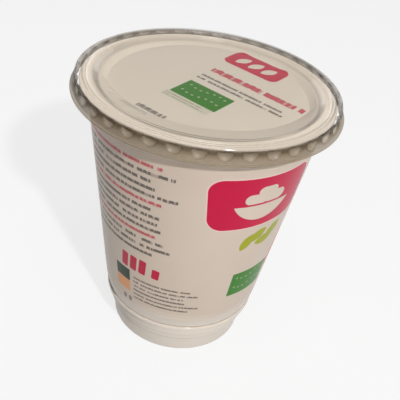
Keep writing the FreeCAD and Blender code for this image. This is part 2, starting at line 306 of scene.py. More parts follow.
# ------------------------------------------------------------------------------- materials
def add(tree, kind, *inputs, output=0, named=None, **settings):
    """Add one shader node: set its properties, give each input, in order or by key, a value or a link
    from another node's socket, and return the wanted output socket, if the node has one."""
    node = tree.nodes.new("ShaderNode" + kind)
    for key, value in settings.items():
        setattr(node, key, value)
    for key, value in [*enumerate(inputs), *(named or {}).items()]:
        if isinstance(value, bpy.types.NodeSocket):
            tree.links.new(value, node.inputs[key])
        elif value is not None:
            node.inputs[key].default_value = value
    return None if output is None else node.outputs[output]


def new_tree(kind, name):
    """A new material or world of this name, and its emptied node tree."""
    shaded = kind.new(name)
    shaded.use_nodes = True
    shaded.node_tree.nodes.clear()
    return shaded, shaded.node_tree


def place_mm(tree):
    """Place in the material's object, in millimetres."""
    here = add(tree, "TexCoord", output="Object")
    return add(tree, "VectorMath", here, (1 / MM,) * 3, operation="MULTIPLY")


def wall_print_place(tree):
    """Place on the pot's wall in millimetres of print: the angle from the front, repeated every half
    turn, times the mean radius, and the height."""
    split = add(tree, "SeparateXYZ", place_mm(tree)).node.outputs
    back = add(tree, "Math", split[1], -1.0, operation="MULTIPLY")
    turn = add(tree, "Math", split[0], back, operation="ARCTAN2")
    turn = add(tree, "Math", turn, 0.5 * math.pi, -0.5 * math.pi, operation="WRAP")
    along = add(tree, "Math", turn, PRINT_RADIUS, operation="MULTIPLY")
    return add(tree, "CombineXYZ", along, split[2])


def local_place(tree, place, centre, turn):
    """The same place measured from a centre, along axes turned by an angle."""
    return add(tree, "Mapping", place, (*centre, 0), (0, 0, turn), vector_type="TEXTURE")


def edge_mask(tree, distance, reach, soft=0.1):
    """1 where a distance is under its reach and 0 beyond it, over a soft edge in millimetres."""
    return add(tree, "MapRange", distance, reach - soft, reach + soft, 1.0, 0.0)


def rounded_field(tree, place, centre, size, corner, turn=0.0):
    """Mask of a rounded rectangle: how far a point lies outside the inner rectangle that is smaller by
    the corner's radius, compared with that radius."""
    folded = add(tree, "VectorMath", local_place(tree, place, centre, turn), operation="ABSOLUTE")
    inner = (0.5 * size[0] - corner, 0.5 * size[1] - corner, 0.0)
    outside = add(tree, "VectorMath", folded, inner, operation="SUBTRACT")
    outside = add(tree, "VectorMath", outside, (0.0, 0.0, 0.0), operation="MAXIMUM")
    distance = add(tree, "VectorMath", outside, output="Value", operation="LENGTH")
    return edge_mask(tree, distance, corner)


def leaf_field(tree, place, centre, size, turn=0.0):
    """Mask of a pointed leaf, the overlap of two circles whose centres lie either side of its length."""
    half, width = 0.5 * size[0], 0.5 * size[1]
    radius = 0.5 * (half * half / width + width)
    folded = add(tree, "VectorMath", local_place(tree, place, centre, turn), operation="ABSOLUTE")
    shifted = add(tree, "VectorMath", folded, (0.0, radius - width, 0.0), operation="ADD")
    distance = add(tree, "VectorMath", shifted, output="Value", operation="LENGTH")
    return edge_mask(tree, distance, radius)


def bar_lines(tree, place, corner, size, pitch, weight, word, ragged):
    """Masks of a block of small print, greeked as bars: rows at an even pitch, each cut into words of
    uneven length by a noise and ending at its own place.  Returns the mask and the row's number."""
    local = add(tree, "VectorMath", place, (*corner, 0.0), operation="SUBTRACT")
    split = add(tree, "SeparateXYZ", local).node.outputs
    down = add(tree, "Math", split[1], -1 / pitch, operation="MULTIPLY")
    row = add(tree, "Math", down, operation="FLOOR")
    inside = add(tree, "Math", down, row, operation="SUBTRACT")
    middle = add(tree, "Math", inside, 0.5, operation="SUBTRACT")
    # the noises are read far apart for each row, so that no two rows are alike
    shift = add(tree, "Math", row, 7.31, operation="MULTIPLY")
    # strokes about two thirds of the bar's weight long lift and thin the bar, as letters would
    stroke = add(tree, "Math", split[0], 1.5 / weight, operation="MULTIPLY")
    stroke = add(tree, "CombineXYZ", stroke, shift)
    strokes = add(tree, "TexNoise", named={"Vector": stroke, "Scale": 1.0, "Detail": 0.0})
    wander = add(tree, "Math", strokes, -0.5, operation="ADD")
    middle = add(tree, "Math", wander, 0.5 * weight / pitch, middle, operation="MULTIPLY_ADD")
    middle = add(tree, "Math", middle, operation="ABSOLUTE")
    strip = edge_mask(tree, middle, 0.5 * weight / pitch, 0.1 / pitch)
    # each row starts at the left and ends at a place of its own
    chance = add(tree, "TexWhiteNoise", named={"W": row}, noise_dimensions="1D")
    end = add(tree, "Math", chance, -ragged, size[0], operation="MULTIPLY_ADD")
    before_end = add(tree, "Math", split[0], end, operation="LESS_THAN")
    after_start = add(tree, "Math", split[0], 0.0, operation="GREATER_THAN")
    # gaps between words, where a slower noise is low
    across = add(tree, "Math", split[0], 1 / word, operation="MULTIPLY")
    across = add(tree, "CombineXYZ", across, shift)
    words = add(tree, "TexNoise", named={"Vector": across, "Scale": 1.0, "Detail": 1.0})
    words = add(tree, "Math", words, 0.37, operation="GREATER_THAN")
    strokes = add(tree, "MapRange", strokes, 0.34, 0.46, 0.45, 1.0)
    rows = add(tree, "Math", down, size[1] / pitch, operation="LESS_THAN")
    above = add(tree, "Math", down, 0.0, operation="GREATER_THAN")
    mask = strip
    for part in (before_end, after_start, words, strokes, rows, above):
        mask = add(tree, "Math", mask, part, operation="MULTIPLY")
    return mask, row


def inked(tree, under, mask, ink, strength=1.0):
    """A colour with another laid over it where the mask is 1.  Each is a socket or one of the colours."""
    if strength < 1:
        mask = add(tree, "Math", mask, strength, operation="MULTIPLY")
    under, ink = (tone if isinstance(tone, bpy.types.NodeSocket) else (*tone, 1.0) for tone in (under, ink))
    return add(tree, "Mix", mask, output=2, named={6: under, 7: ink}, data_type="RGBA")


def dotted_field(tree, colour, place, centre, size, first_row, row_pitch, green, pale):
    """A colour with a green field laid over it, with two rows of seven pale dots along a wave."""
    colour = inked(tree, colour, rounded_field(tree, place, centre, size, 0.4), green)
    dots, pitch, wave = 7, 2.5, 0.9
    for index in range(dots):
        across = pitch * (index - (dots - 1) / 2)
        for row in (0, 1):
            up = first_row - row_pitch * row - wave * math.sin(index)
            dot = rounded_field(tree, place, (centre[0] + across, centre[1] + up), (1.0, 0.7), 0.34, 0.5)
            colour = inked(tree, colour, dot, pale, 0.6)
    return colour


def along_mm(degrees):
    """Millimetres of print for an angle from the front, in degrees."""
    return math.radians(degrees) * PRINT_RADIUS


def front_panel(tree, place, colour, inks):
    """The pot's front panel over a colour: a magenta field that leans with the wall and has a fine pale
    edge, and in it a pale bowl, the lower half of a leaf shape, with a heap of three rounded fields."""
    middle = (along_mm(37.5), 83.0)
    size = (along_mm(60), 22.8)
    edge, lean = 0.5, 0.1
    split = add(tree, "SeparateXYZ", place).node.outputs
    leaned = add(tree, "Math", split[1], -middle[1], operation="ADD")
    leaned = add(tree, "Math", leaned, lean, split[0], operation="MULTIPLY_ADD")
    leaned = add(tree, "CombineXYZ", leaned, split[1])
    outer = rounded_field(tree, leaned, middle, (size[0] + 2 * edge, size[1] + 2 * edge), 6.0)
    colour = inked(tree, colour, outer, inks.panel_edge, 0.6)
    colour = inked(tree, colour, rounded_field(tree, leaned, middle, size, 5.5), inks.magenta)
    x, y = middle
    brim = y - 1.0
    bowl = leaf_field(tree, place, (x, brim), (22.0, 14.0))
    below = add(tree, "Math", split[1], brim, operation="LESS_THAN")
    bowl = add(tree, "Math", bowl, below, operation="MULTIPLY")
    colour = inked(tree, colour, bowl, inks.pot_white)
    for shift, level, lump in ((-3.2, 2.0, (9.0, 4.4)), (3.4, 2.2, (8.6, 4.8)), (0.2, 5.0, (7.4, 4.2))):
        heap = rounded_field(tree, place, (x + shift, y + level), lump, 0.49 * lump[1])
        colour = inked(tree, colour, heap, inks.pot_white)
    return colour


def wall_print(tree, place, base, inks):
    """The pot's print, in fields of colour: front panel, sprig, green field with pale dots, two small
    fields, headline bars and two blocks of greeked small print.  Angles are in degrees from the front
    and levels and sizes in millimetres."""
    colour = front_panel(tree, place, base, inks)
    # sprig of lime leaves
    for degrees, level, turn in ((35, 63.5, 62), (41.5, 66.0, 35), (47.5, 62.6, 12), (53, 66.0, 48)):
        leaf = leaf_field(tree, place, (along_mm(degrees), level), (8.6, 4.6), math.radians(turn))
        colour = inked(tree, colour, leaf, inks.lime)
    colour = dotted_field(tree, colour, place, (along_mm(49), 40.2), (20.4, 12.6), 3.4, 5.2, inks.green,
                          inks.pot_white)
    # two small fields, one on the other, and two small marks under them
    for level, ink in ((37.6, inks.dark_green), (31.6, inks.orange)):
        small = rounded_field(tree, place, (along_mm(-40.3), level), (8.4, 6.0), 0.3)
        colour = inked(tree, colour, small, ink)
    for shift in (-1.6, 1.6):
        mark = rounded_field(tree, place, (along_mm(-36.5) + shift, 24.6), (2.0, 2.8), 0.9)
        colour = inked(tree, colour, mark, inks.grey, 0.7)
    # headline bars, three tall and one short
    for degrees, level, tall in ((-37.6, 45.6, 7.4), (-30.9, 45.6, 7.4), (-24.2, 45.6, 7.4),
                                 (-15.2, 44.4, 5.0)):
        bar = rounded_field(tree, place, (along_mm(degrees), level), (3.3, tall), 0.7, math.radians(-5))
        colour = inked(tree, colour, bar, inks.crimson)
    # warm stripe to the right of the green field
    stripe = rounded_field(tree, place, (along_mm(69.5), 50.0), (4.0, 19.0), 1.6, math.radians(-8))
    colour = inked(tree, colour, stripe, inks.vermilion)
    # greeked small print, in which every fifth row is crimson, and a finer block under it
    corner = (along_mm(-66), 96.0)
    mask, row = bar_lines(tree, place, corner, (along_mm(60), 43.0), 3.1, 1.35, 3.0, 10.0)
    fifth = add(tree, "Math", row, 5.0, operation="MODULO")
    first = add(tree, "Math", fifth, 0.5, operation="LESS_THAN")
    ink = inked(tree, inks.black, first, inks.crimson)
    colour = inked(tree, colour, mask, ink, 0.8)
    corner = (along_mm(-31), 39.0)
    mask = bar_lines(tree, place, corner, (along_mm(46), 13.2), 2.2, 0.9, 2.0, 8.0)[0]
    return inked(tree, colour, mask, inks.grey, 0.85)


def membrane_print(tree, place, base, inks):
    """The membrane's print, turned to the right: a green field with pale dots, a paler strip under it, a
    magenta field with three leaves, a bold bar line, two fine ones, a date stamp's two blocks and fine
    print on the strip.  Places and sizes are in millimetres, and places are from the axis."""
    turned_place = local_place(tree, place, (0.0, 0.0), math.radians(-34))
    strip = rounded_field(tree, turned_place, (0.6, -14.0), (20.0, 4.0), 0.3)
    colour = inked(tree, base, strip, inks.pale_green, 0.55)
    colour = dotted_field(tree, colour, turned_place, (1.4, -5.8), (20.0, 12.2), 3.2, 5.0, inks.green,
                          inks.membrane_white)
    x, y = panel_middle = (0.2, 29.6)
    panel = rounded_field(tree, turned_place, panel_middle, (24.6, 12.6), 3.2)
    colour = inked(tree, colour, panel, inks.magenta)
    for shift in (-6.0, 0.0, 6.0):
        leaf = leaf_field(tree, turned_place, (x + shift, y), (7.4, 3.8), math.radians(60))
        colour = inked(tree, colour, leaf, inks.membrane_white)
    for corner, size, pitch, weight, word, ragged, ink, strength in (
        ((-9.0, 16.2), (41.5, 4.9), 5.0, 3.2, 3.6, 1.0, inks.crimson, 0.9),
        ((-9.0, 8.6), (38.0, 5.4), 2.8, 1.3, 2.6, 4.0, inks.black, 0.75),
        ((-9.0, -26.4), (13.0, 3.1), 3.2, 2.1, 1.7, 1.2, inks.black, 0.7),
        ((-13.0, -30.2), (12.0, 2.6), 1.4, 0.6, 1.2, 2.0, inks.black, 0.55),
        ((-9.0, -12.6), (18.0, 3.0), 1.5, 0.5, 2.0, 3.0, inks.black, 0.5),
    ):
        mask = bar_lines(tree, turned_place, corner, size, pitch, weight, word, ragged)[0]
        colour = inked(tree, colour, mask, ink, strength)
    return colour


def polypropylene(inks, s):
    """Thermoformed white polypropylene with dry offset print: a satin gloss that is higher on the
    unprinted foot, a body colour that wanders a little where the sheet was drawn thinner, and painted
    shade in the creases under the foot's steps."""
    material, tree = new_tree(bpy.data.materials, "thermoformed_printed_polypropylene")
    place = place_mm(tree)
    drift = add(tree, "TexNoise", named={"Vector": place, "Scale": 1 / 22, "Detail": 2.0})
    white = inked(tree, inks.pot_white, drift, inks.pot_shade)
    height = add(tree, "SeparateXYZ", place, output="Z")
    unprinted = add(tree, "MapRange", height, 19.0, 25.0, 1.0, 0.0)
    white = inked(tree, white, unprinted, inks.foot_white)
    # painted shade in the creases: each step of the foot, how far over it the middle of its crease lies,
    # and that crease's half width
    for step, over, width in (
        (s.foot_height, -0.3, 0.35),
        (s.foot_height + s.ledge_height, -0.3, 0.35),
        (s.bead_level, -0.4, 0.45),
        (s.bead_level + s.bead_height, 0.3, 0.25),
    ):
        off = add(tree, "Math", height, -(step / MM + over), operation="ADD")
        off = add(tree, "Math", off, operation="ABSOLUTE")
        white = inked(tree, white, edge_mask(tree, off, width, 0.3), inks.crease_shade, 0.7)
    colour = wall_print(tree, wall_print_place(tree), white, inks)
    gloss = add(tree, "MapRange", height, 16.0, 25.0, 0.14, 0.3)
    shader = add(tree, "BsdfPrincipled", named={
        "Base Color": colour, "Roughness": gloss, "IOR": 1.49, "Specular IOR Level": 0.28})
    add(tree, "OutputMaterial", shader, output=None)
    return material


def sealing_sheet(inks):
    """Lacquered sealing sheet, printed: nearly white with a low sheen, and a fine crinkle that the heat
    seal leaves."""
    material, tree = new_tree(bpy.data.materials, "lacquered_printed_sealing_sheet")
    place = place_mm(tree)
    flat = add(tree, "VectorMath", place, (1.0, 1.0, 0.0), operation="MULTIPLY")
    away = add(tree, "VectorMath", flat, output="Value", operation="LENGTH")
    # painted sheen: lighter where the membrane is sealed flat under the ring
    sealed = add(tree, "MapRange", away, 39.0, 41.0, 0.0, 1.0)
    white = inked(tree, inks.membrane_white, sealed, inks.seal_sheen_white)
    colour = membrane_print(tree, flat, white, inks)
    crinkle = add(tree, "TexNoise", named={"Vector": place, "Scale": 1 / 6, "Detail": 4.0})
    gloss = add(tree, "MapRange", crinkle, 0.3, 0.7, 0.36, 0.5)
    bump = add(tree, "Bump", named={"Height": crinkle, "Strength": 0.25, "Distance": 0.3 * MM})
    shader = add(tree, "BsdfPrincipled", named={
        "Base Color": colour, "Roughness": gloss, "IOR": 1.45, "Specular IOR Level": 0.3, "Normal": bump})
    add(tree, "OutputMaterial", shader, output=None)
    return material


def clear_sheet(inks):
    """Clear thermoformed polyester sheet: see-through face on, browner and more mirror-like edge on, as
    the way through the sheet gets longer.  Where the skirt was drawn down it is hazy, with paler lugs,
    painted light near the lip and a band of painted shade under the ring between the lugs, and painted
    shade darkens the bends of the top."""
    material, tree = new_tree(bpy.data.materials, "thermoformed_clear_polyester")
    skirt, lug, band, bend = (add(tree, "Attribute", output="Fac", attribute_name=name)
                              for name in ("skirt", "lug", "band", "bend"))
    # mirror: a little face on and most of the light edge on, less on the drawn skirt
    edge_on = add(tree, "LayerWeight", 0.5, output="Facing")
    steep = add(tree, "Math", edge_on, 5.0, operation="POWER")
    mirror = add(tree, "Math", steep, 0.6, 0.03, operation="MULTIPLY_ADD")
    dull = add(tree, "Math", skirt, -0.6, 1.0, operation="MULTIPLY_ADD")
    mirror = add(tree, "Math", mirror, dull, operation="MULTIPLY")
    # tint: what a straight way through leaves of the light, to the power of the slanted way's length
    face_on = add(tree, "Math", 1.0, edge_on, operation="SUBTRACT")
    face_on = add(tree, "Math", face_on, 0.12, operation="MAXIMUM")
    path = add(tree, "Math", 1.0, face_on, operation="DIVIDE")
    clear = add(tree, "Math", skirt, -0.16, 0.99, operation="MULTIPLY_ADD")
    # painted shade: the band and the bends darken the tint, and with it the shadow that the sheet casts
    clear = add(tree, "Math", band, -0.26, clear, operation="MULTIPLY_ADD")
    clear = add(tree, "Math", bend, -0.12, clear, operation="MULTIPLY_ADD")
    left = add(tree, "Math", clear, path, operation="POWER")
    tint = inked(tree, inks.sheet_edge, left, inks.sheet_clear)
    through = add(tree, "BsdfTransparent", tint)
    # shine: scuffed every few millimetres, and duller where the skirt was drawn
    scuff = add(tree, "TexNoise", named={"Vector": place_mm(tree), "Scale": 1 / 3, "Detail": 4.0})
    gloss = add(tree, "MapRange", scuff, 0.3, 0.7, 0.06, 0.16)
    gloss = add(tree, "Math", skirt, 0.3, gloss, operation="MULTIPLY_ADD")
    bump = add(tree, "Bump", named={"Height": scuff, "Strength": 0.1, "Distance": 0.1 * MM})
    shine = add(tree, "BsdfGlossy", WHITE, gloss, named={"Normal": bump})
    # haze: on the outside of the sheet only, so that it counts once; paler on the lugs, with painted light
    # near the lip and painted shade in the band
    hazy = inked(tree, inks.sheet_haze, skirt, inks.skirt_haze)
    hazy = inked(tree, hazy, lug, inks.lug_haze_and_lip_light, 0.8)
    hazy = inked(tree, hazy, band, inks.band_shade, 0.6)
    haze = add(tree, "BsdfDiffuse", hazy)
    inside = add(tree, "NewGeometry", output="Backfacing")
    outside = add(tree, "Math", 1.0, inside, operation="SUBTRACT")
    share = add(tree, "Math", skirt, 0.56, 0.02, operation="MULTIPLY_ADD")
    share = add(tree, "Math", share, outside, operation="MULTIPLY")
    body = add(tree, "MixShader", share, through, haze)
    shader = add(tree, "MixShader", mirror, body, shine)
    add(tree, "OutputMaterial", shader, output=None)
    return material


def seen_ray(tree, mirrored):
    """1 for the rays that show the background: the camera's, and those that pass it on, and for those
    that mirror it, the share of it that they see."""
    seen = add(tree, "LightPath", output="Is Camera Ray")
    rays = seen.node.outputs
    seen = add(tree, "Math", seen, rays["Is Transmission Ray"], operation="MAXIMUM")
    glossy = add(tree, "Math", rays["Is Glossy Ray"], mirrored, operation="MULTIPLY")
    return add(tree, "Math", seen, glossy, operation="MAXIMUM")


def painted_board(white):
    """Matt painted board for the floor: evenly pale, with the faintest mottle of a roller, and white to
    the rays that show the background, apart from the share that keeps the pot's shadow."""
    material, tree = new_tree(bpy.data.materials, "matt_painted_board")
    mottle = add(tree, "TexNoise", named={"Vector": place_mm(tree), "Scale": 1 / 40, "Detail": 3.0})
    shade = add(tree, "MapRange", mottle, 0.0, 1.0, 0.99, 1.01)
    colour = add(tree, "Mix", 1.0, output=2, data_type="RGBA", blend_type="MULTIPLY",
                 named={6: (*white, 1.0), 7: shade})
    lit = add(tree, "BsdfDiffuse", colour, 0.6)
    glow = add(tree, "Emission", WHITE, 1.0)
    seen = seen_ray(tree, 0.6)
    share = add(tree, "Math", seen, 0.78, operation="MULTIPLY")
    shader = add(tree, "MixShader", share, lit, glow)
    add(tree, "OutputMaterial", shader, output=None)
    return material


# ---------------------------------------------------------------------------------- pieces
def pot_outline(s):
    """Outline of the pot from the middle of its base, up its outside, to the middle of its top."""
    foot_top = s.foot_radius + s.foot_flare
    ledge = foot_top + s.ledge_width
    neck_level = s.foot_height + s.ledge_height
    bead_top = s.bead_level + s.bead_height
    shoulder_top = bead_top + s.shoulder_height
    top, rim_radius = POT_TOP, MEMBRANE_HIGH[0] + s.rim_show
    rim_underside = top - s.rim_height
    inside = s.foot_radius - s.foot_land
    fine, soft = 0.25 * MM, 0.4 * MM
    # the membrane is sealed on the outer width of the top, and inside it the top sinks under the dish
    seal_width, slope_width, sink = 6 * MM, 6 * MM, 4 * MM
    seal_edge = rim_radius - seal_width
    return rounded_path([
        (0, s.base_recess, 0),
        (inside, s.base_recess, soft),
        (inside, 0, soft),
        (s.foot_radius, 0, 1.0 * MM),
        (foot_top, s.foot_height, fine),
        (ledge, s.foot_height, fine),
        (ledge, neck_level, fine),
        (s.neck_radius, neck_level, fine),
        (s.neck_radius, s.bead_level, fine),
        (s.bead_radius, s.bead_level, soft),
        (s.bead_radius, bead_top, soft),
        (s.bead_radius - s.shoulder_inset, bead_top, fine),
        (s.wall_base_radius, shoulder_top, 12 * MM),
        (s.wall_top_radius, rim_underside, 1.2 * MM),
        (rim_radius, rim_underside, 0.5 * MM),
        (rim_radius, top, 0.1 * MM),
        (seal_edge, top, 0),
        (seal_edge - slope_width, top - sink, 0),
        (0, top - sink, 0),
    ])


def wall_swing(radius, height, turn, s):
    """How far the drawn wall swings in and out, as a share of its radius: the mean of two sines that run
    round and up the wall, eased in above the shoulder and out below the rim."""
    above_shoulder = smooth_step((height - 24 * MM) / (8 * MM))
    below_rim = smooth_step((POT_TOP - 9 * MM - height) / (8 * MM))
    on_wall = above_shoulder * below_rim * (radius > s.wall_base_radius)
    waves = np.sin(5 * turn + height / (11 * MM)) + np.sin(9 * turn - height / (17 * MM) + 1.3)
    return 0.5 * s.wall_wave * waves * on_wall / np.maximum(radius, MM)


class CHEESE_OT_pot(bpy.types.Operator):
    """Make the printed pot"""
    bl_idname = "cheese.pot"
    bl_label = "Pot"

    def execute(self, context):
        sizes, inks = context.scene.cheese_pot, context.scene.cheese_inks
        path = filled_path(pot_outline(sizes), 2.5 * MM)
        grid = turned(path, sizes.columns)
        radius, height = path[:, 0][:, None], path[:, 1][:, None]
        swing = wall_swing(radius, height, turns(sizes.columns), sizes)
        grid[:, :, :2] *= 1 + swing[:, :, None]
        mesh = closed_mesh("pot_shell", grid)
        add_piece("pot_shell", mesh, polypropylene(inks, sizes), "pot")
        return {"FINISHED"}


def dish_heights(radius, turn, s):
    """Height of the membrane over its seal: an even slope from the dish's edge down to the edge of its
    floor, which is the lesser of a shifted circle's distance from the axis and the dish's radius less the
    least slope, all of it a little deeper at the front than at the back, with small radial creases on the
    slope, deepest at the front left."""
    shift = s.floor_shift
    circle = np.sqrt(s.floor_radius ** 2 - (shift * np.sin(turn)) ** 2) - shift * np.cos(turn)
    floor_edge = np.minimum(circle, s.dish_radius - s.slope_width)
    down = np.clip((s.dish_radius - radius) / (s.dish_radius - floor_edge), 0, 1)
    creases = np.sin(46 * turn + 2.1 * np.sin(5 * turn)) * np.sin(7 * turn + 0.6) ** 2
    slope = np.exp(-((radius - s.dish_radius + 2.5 * MM) / (2.0 * MM)) ** 2)
    side = 0.25 + 0.75 * np.exp(-((turn + math.radians(62)) / 0.35) ** 2)
    tilt = 0.6 + 0.4 * np.cos(turn) * radius / s.dish_radius
    return -s.dish_depth * down * tilt + s.crinkle * (creases - 1) * slope * side


class CHEESE_OT_membrane(bpy.types.Operator):
    """Make the sealed, dished and printed membrane"""
    bl_idname = "cheese.membrane"
    bl_label = "Membrane"

    def execute(self, context):
        sizes, inks = context.scene.cheese_membrane, context.scene.cheese_inks
        edge, top = MEMBRANE_HIGH[0], MEMBRANE_HIGH[2]
        # wide rings over the flat floor, and narrow ones over the slope with its creases
        radii = np.concatenate([
            [0], np.linspace(3 * MM, 27 * MM, 9), np.linspace(28 * MM, sizes.dish_radius, 44),
            [sizes.dish_radius + 1 * MM, 42 * MM, edge - 0.05 * MM, edge],
        ])
        upper = turned(np.column_stack([radii, np.full(len(radii), top)]), sizes.columns)
        radius = radii[:, None]
        upper[:, :, 2] += dish_heights(radius, turns(sizes.columns), sizes) * (radius < sizes.dish_radius)
        upper[:, :, 2] -= SEAT_CLEARANCE * (radius < edge - 0.01 * MM)
        lower = upper - (0, 0, sizes.sheet)
        mesh = closed_mesh("membrane_sheet", np.concatenate([lower, upper[::-1]]))
        add_piece("membrane_sheet", mesh, sealing_sheet(inks), "membrane")
        return {"FINISHED"}


def cap_outline(s):
    """Outline of the overcap's sheet, from the middle of the panel's underside out under the ring and down
    the inside of the skirt, round the lip, and back up the outside to the middle of the panel's top."""
    top, lip_radius, lip_level = CAP_HIGH[2], CAP_HIGH[0], CAP_LOW[2]
    panel_top = top - s.panel_depth
    skirt_foot = s.ring_outer_radius + s.skirt_flare
    half_top, half_floor = 0.5 * s.groove_width, 0.5 * s.groove_floor
    bend = s.sheet * math.tan(0.5 * math.atan2(s.panel_depth, s.ring_inner_radius - s.panel_radius))
    groove_bend = s.sheet * math.tan(0.5 * math.atan2(s.groove_depth, half_top - half_floor))
    ceiling = top - s.sheet
    inner = [
        (0, panel_top - s.sheet, 0),
        (s.panel_radius + bend, panel_top - s.sheet, 0.5 * MM),
        (s.ring_inner_radius + bend, ceiling, 1.2 * MM),
        (s.groove_radius - half_top - groove_bend, ceiling, 0.1 * MM),
        (s.groove_radius - half_floor - groove_bend, ceiling - s.groove_depth, 0.1 * MM),
        (s.groove_radius + half_floor + groove_bend, ceiling - s.groove_depth, 0.1 * MM),
        (s.groove_radius + half_top + groove_bend, ceiling, 0.1 * MM),
        (s.ring_outer_radius - s.sheet, ceiling, 0.4 * MM),
        (skirt_foot - s.sheet, lip_level + s.sheet, 0),
    ]
    lip = [
        (skirt_foot - s.sheet + 0.05 * MM, lip_level, 0.1 * MM),
        (lip_radius, lip_level, 0.12 * MM),
        (lip_radius, lip_level + s.sheet, 0.12 * MM),
    ]
    outer = [
        (skirt_foot, lip_level + s.sheet, 0.15 * MM),
        (s.ring_outer_radius, top, 0.9 * MM),
        (s.groove_radius + half_top, top, 0.1 * MM),
        (s.groove_radius + half_floor, top - s.groove_depth, 0.1 * MM),
        (s.groove_radius - half_floor, top - s.groove_depth, 0.1 * MM),
        (s.groove_radius - half_top, top, 0.1 * MM),
        (s.ring_inner_radius, top, 0.7 * MM),
        (s.panel_radius, panel_top, 1.0 * MM),
        (0, panel_top, 0),
    ]
    return rounded_path(inner + lip + outer, 4)


def fill_skirt(path, s):
    """The overcap's outline with short runs down the skirt, for its lugs, and longer ones elsewhere."""
    short, long = 0.26 * MM, 6 * MM
    pieces = []
    for start, end in zip(path[:-1], path[1:]):
        on_skirt = min(start[0], end[0]) > s.ring_outer_radius - 1.2 * s.sheet
        upright = abs(end[1] - start[1]) > 1 * MM
        longest = short if on_skirt and upright else long
        pieces.append(filled_path(np.array([start, end]), longest)[:-1])
    return np.vstack(pieces + [path[-1:]])


def lug_depth(height, turn, radius, ball, s):
    """How far a lug presses a skirt wall inwards: the wall's radius less the near side of a ball that
    stands outside the skirt, kept to the ball's lower half by a smooth step just under the ring and eased
    in at the ball's edge by another."""
    centre = s.ring_outer_radius - s.lug_reach + s.lug_radius
    level = CAP_HIGH[2] - s.lug_drop
    pitch = 2 * math.pi / s.lug_count
    offset = (turn + 0.5 * pitch) % pitch - 0.5 * pitch
    across, up = centre * np.sin(offset), height - level
    room = ball ** 2 - across ** 2 - up ** 2
    near = centre * np.cos(offset) - np.sqrt(np.maximum(room, 0))
    depth = np.where(room > 0, np.maximum(radius - near, 0), 0)
    return depth * smooth_step((0.25 * MM - up) / (0.5 * MM)) * smooth_step(depth / (0.5 * MM))


def cap_marks(path, depth, s):
    """What the overcap's material reads at each point: skirt, 1 on the drawn skirt; lug, 1 on a pressed
    lug and near the lip, where it paints light; band, 1 where painted shade lies under the ring between
    the lugs and on a lug's outline; and bend, the steepness of the outline over the rest of the sheet,
    which paints shade on the bends."""
    radius, height = path[:, 0][:, None], path[:, 1][:, None]
    lip_top = CAP_LOW[2] + s.sheet
    skirt = smooth_step((radius - s.ring_outer_radius + 1.0 * MM) / (0.8 * MM))
    skirt = skirt * (height < CAP_HIGH[2] - 0.6 * MM) + 0 * depth
    # painted light near the lip, where the lit wall shows through the skirt
    painted_lip_light = smooth_step((lip_top + 2.4 * MM - height) / (2.0 * MM)) * skirt
    lug = np.maximum(smooth_step(depth / (0.4 * MM)), painted_lip_light)
    # painted shade under the ring, where the gap over the pot's rim lies in shade
    painted_under_ring_shade = smooth_step((height - lip_top - 1.6 * MM) / (1.6 * MM))
    # painted shade on a lug's outline, which also darkens the outline's shadow on the wall
    outline = np.exp(-((depth - 0.08 * MM) / (0.1 * MM)) ** 2) * (depth > 0)
    band = np.maximum(painted_under_ring_shade * (1 - 0.5 * lug), 0.8 * outline) * skirt
    run, rise = np.gradient(path[:, 0]), np.gradient(path[:, 1])
    # painted shade on the bends of the top, darker where the outline is steep
    bend = np.abs(rise / np.maximum(np.hypot(run, rise), 1e-9))[:, None] * (1 - skirt)
    return {"skirt": skirt, "lug": lug, "band": band, "bend": bend}


class CHEESE_OT_overcap(bpy.types.Operator):
    """Make the clear overcap with its ring of lugs"""
    bl_idname = "cheese.overcap"
    bl_label = "Overcap"

    def execute(self, context):
        sizes, inks = context.scene.cheese_cap, context.scene.cheese_inks
        path = fill_skirt(cap_outline(sizes), sizes)
        columns = sizes.lug_count * sizes.lug_columns
        grid, turn = turned(path, columns), turns(columns)
        radius, height = path[:, 0][:, None], path[:, 1][:, None]
        # lugs: the inner wall, which comes first in the outline, is pressed by a ball one sheet larger
        inner_wall = np.arange(len(path))[:, None] < np.argmax(path[:, 0])
        ball = np.where(inner_wall, sizes.lug_radius + sizes.sheet, sizes.lug_radius)
        above_lip = height > CAP_LOW[2] + sizes.sheet - 0.01 * MM
        on_skirt = (radius > sizes.ring_outer_radius - 1.6 * sizes.sheet) & above_lip
        depth = lug_depth(height, turn, radius, ball, sizes) * on_skirt
        pressed = radius - depth
        grid[:, :, 0], grid[:, :, 1] = pressed * np.sin(turn), -pressed * np.cos(turn)
        # the panel dips in slow waves that die out before its edge
        wave = np.sin(grid[:, :, 0] / (17 * MM) + 0.7) * np.cos(grid[:, :, 1] / (23 * MM) - 0.4)
        inside = smooth_step((sizes.panel_radius - 2 * MM - radius) / (12 * MM))
        grid[:, :, 2] += sizes.waviness * (wave - 1) * 0.5 * inside
        mesh = closed_mesh("clear_overcap", grid, **cap_marks(path, depth, sizes))
        add_piece("clear_overcap", mesh, clear_sheet(inks), "overcap")
        return {"FINISHED"}


# ----------------------------------------------------------------------------------- stage
def camera_axes(s):
    """Right, up and forward of the camera: level and looking down at the elevation, panned about its up
    axis, then rolled about its view."""
    forward = np.array([0.0, math.cos(s.elevation), -math.sin(s.elevation)])
    right = np.array([1.0, 0.0, 0.0])
    up = np.cross(right, forward)
    panned = forward * math.cos(s.pan) + right * math.sin(s.pan)
    level = right * math.cos(s.pan) - forward * math.sin(s.pan)
    rolled = level * math.cos(s.roll) + up * math.sin(s.roll)
    upright = up * math.cos(s.roll) - level * math.sin(s.roll)
    return rolled, upright, panned


